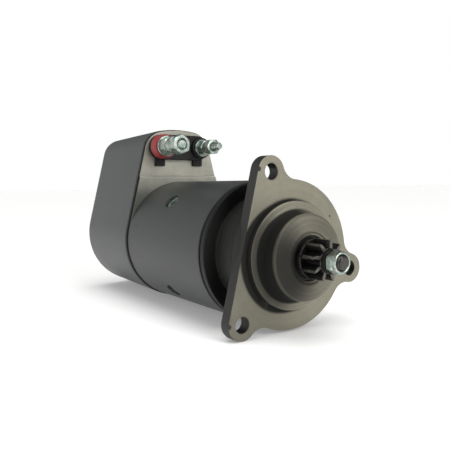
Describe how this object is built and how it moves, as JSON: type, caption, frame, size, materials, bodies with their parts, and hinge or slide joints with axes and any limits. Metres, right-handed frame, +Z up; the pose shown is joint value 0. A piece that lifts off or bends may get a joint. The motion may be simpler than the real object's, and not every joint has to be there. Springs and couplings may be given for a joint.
{
  "type": "starter motor",
  "caption": "Heavy-duty coaxial starter motor with a lobed mounting flange, sliding pinion, round pole housing, tear-drop rear cover and screw terminals.",
  "frame": {"origin": "centre of the mounting flange's front face, on the motor's axis", "axes": "+X along the motor axis towards the pinion, +Z up towards the terminals, +Y to the right when the pinion is seen from the front"},
  "size_m": [0.39, 0.1485, 0.1868],
  "materials": {
    "cast_housing": "machined cast iron with black paint on its edges and neck",
    "grey_paint": "satin dark grey paint",
    "bare_bracket": "bare cast and machined light metal",
    "black_rubber": "matt black rubber",
    "red_insulation": "red moulded insulation",
    "black_insulation": "black moulded insulation",
    "zinc_steel": "bright zinc plate",
    "dark_steel": "hardened and blacked steel",
    "plain_steel": "turned steel",
    "copper": "copper",
    "bronze": "bearing bronze",
    "carbon": "copper-carbon brush"
  },
  "bodies": {
    "housing": {"drive_end_housing": "cast_housing", "pole_housing": "grey_paint", "commutator_end_bracket": "bare_bracket", "cover_gasket": "black_rubber", "rear_cover": "grey_paint", "cover_screw_1": "zinc_steel", "cover_screw_2": "zinc_steel", "terminal_insulator": "black_insulation", "positive_collar": "red_insulation", "negative_collar": "black_insulation", "brush_holder": "bronze", "solenoid_case": "dark_steel", "solenoid_coil": "copper", "control_relay": "dark_steel", "nose_bush": "bronze", "shaft_seal": "black_rubber", "commutator_end_bearing": "bronze", "pole_screw_1": "zinc_steel", "pole_shoe_1": "plain_steel", "field_coil_1": "copper", "brush_spring_1": "plain_steel", "pole_screw_2": "zinc_steel", "pole_shoe_2": "plain_steel", "field_coil_2": "copper", "brush_spring_2": "plain_steel", "pole_screw_3": "zinc_steel", "pole_shoe_3": "plain_steel", "field_coil_3": "copper", "brush_spring_3": "plain_steel", "pole_screw_4": "zinc_steel", "pole_shoe_4": "plain_steel", "field_coil_4": "copper", "brush_spring_4": "plain_steel", "positive_stud": "zinc_steel", "positive_washer": "zinc_steel", "positive_inner_nut": "zinc_steel", "positive_spring_washer": "zinc_steel", "positive_outer_nut": "zinc_steel", "negative_stud": "zinc_steel", "negative_washer": "zinc_steel", "negative_inner_nut": "zinc_steel", "negative_spring_washer": "zinc_steel", "negative_outer_nut": "zinc_steel"},
    "armature": {"armature_shaft": "plain_steel", "armature_core": "plain_steel", "armature_winding": "copper", "commutator": "copper", "clutch_drum": "plain_steel"},
    "engaging": {"solenoid_plunger": "plain_steel", "engaging_rod": "plain_steel", "return_spring": "plain_steel", "contact_bridge": "copper"},
    "drive": {"drive_spindle": "dark_steel", "pinion": "dark_steel", "pinion_nut": "zinc_steel"},
    "relay": {"relay_plunger": "plain_steel"},
    "brush_1_carrier": {"brush_1": "carbon"},
    "brush_2_carrier": {"brush_2": "carbon"},
    "brush_3_carrier": {"brush_3": "carbon"},
    "brush_4_carrier": {"brush_4": "carbon"}
  },
  "joints": [
    {"name": "armature_spin", "type": "hinge", "parent": "housing", "child": "armature", "pos_m": [-0.105, 0, 0], "axis": [1, 0, 0], "continuous": true},
    {"name": "engagement_slide", "type": "slide", "parent": "housing", "child": "engaging", "axis": [1, 0, 0], "range_m": [0, 0.019], "stiffness_N_per_m": 900, "springref_m": -0.02, "deforming": ["return_spring"]},
    {"name": "pinion_spin", "type": "hinge", "parent": "engaging", "child": "drive", "pos_m": [0.04, 0, 0], "axis": [1, 0, 0], "continuous": true},
    {"name": "relay_slide", "type": "slide", "parent": "housing", "child": "relay", "axis": [1, 0, 0], "range_m": [0, 0.003], "stiffness_N_per_m": 400, "springref_m": -0.005},
    {"name": "brush_slide_1", "type": "slide", "parent": "housing", "child": "brush_1_carrier", "axis": [0, 1, 0], "range_m": [0, 0.003], "stiffness_N_per_m": 900, "springref_m": -0.02, "deforming": ["brush_spring_1"]},
    {"name": "brush_slide_2", "type": "slide", "parent": "housing", "child": "brush_2_carrier", "axis": [0, 0, 1], "range_m": [0, 0.003], "stiffness_N_per_m": 900, "springref_m": -0.02, "deforming": ["brush_spring_2"]},
    {"name": "brush_slide_3", "type": "slide", "parent": "housing", "child": "brush_3_carrier", "axis": [0, -1, 0], "range_m": [0, 0.003], "stiffness_N_per_m": 900, "springref_m": -0.02, "deforming": ["brush_spring_3"]},
    {"name": "brush_slide_4", "type": "slide", "parent": "housing", "child": "brush_4_carrier", "axis": [0, 0, -1], "range_m": [0, 0.003], "stiffness_N_per_m": 900, "springref_m": -0.02, "deforming": ["brush_spring_4"]}
  ],
  "couplings": [
    {"joint": "pinion_spin", "follows": "armature_spin", "ratio": 1}
  ]
}
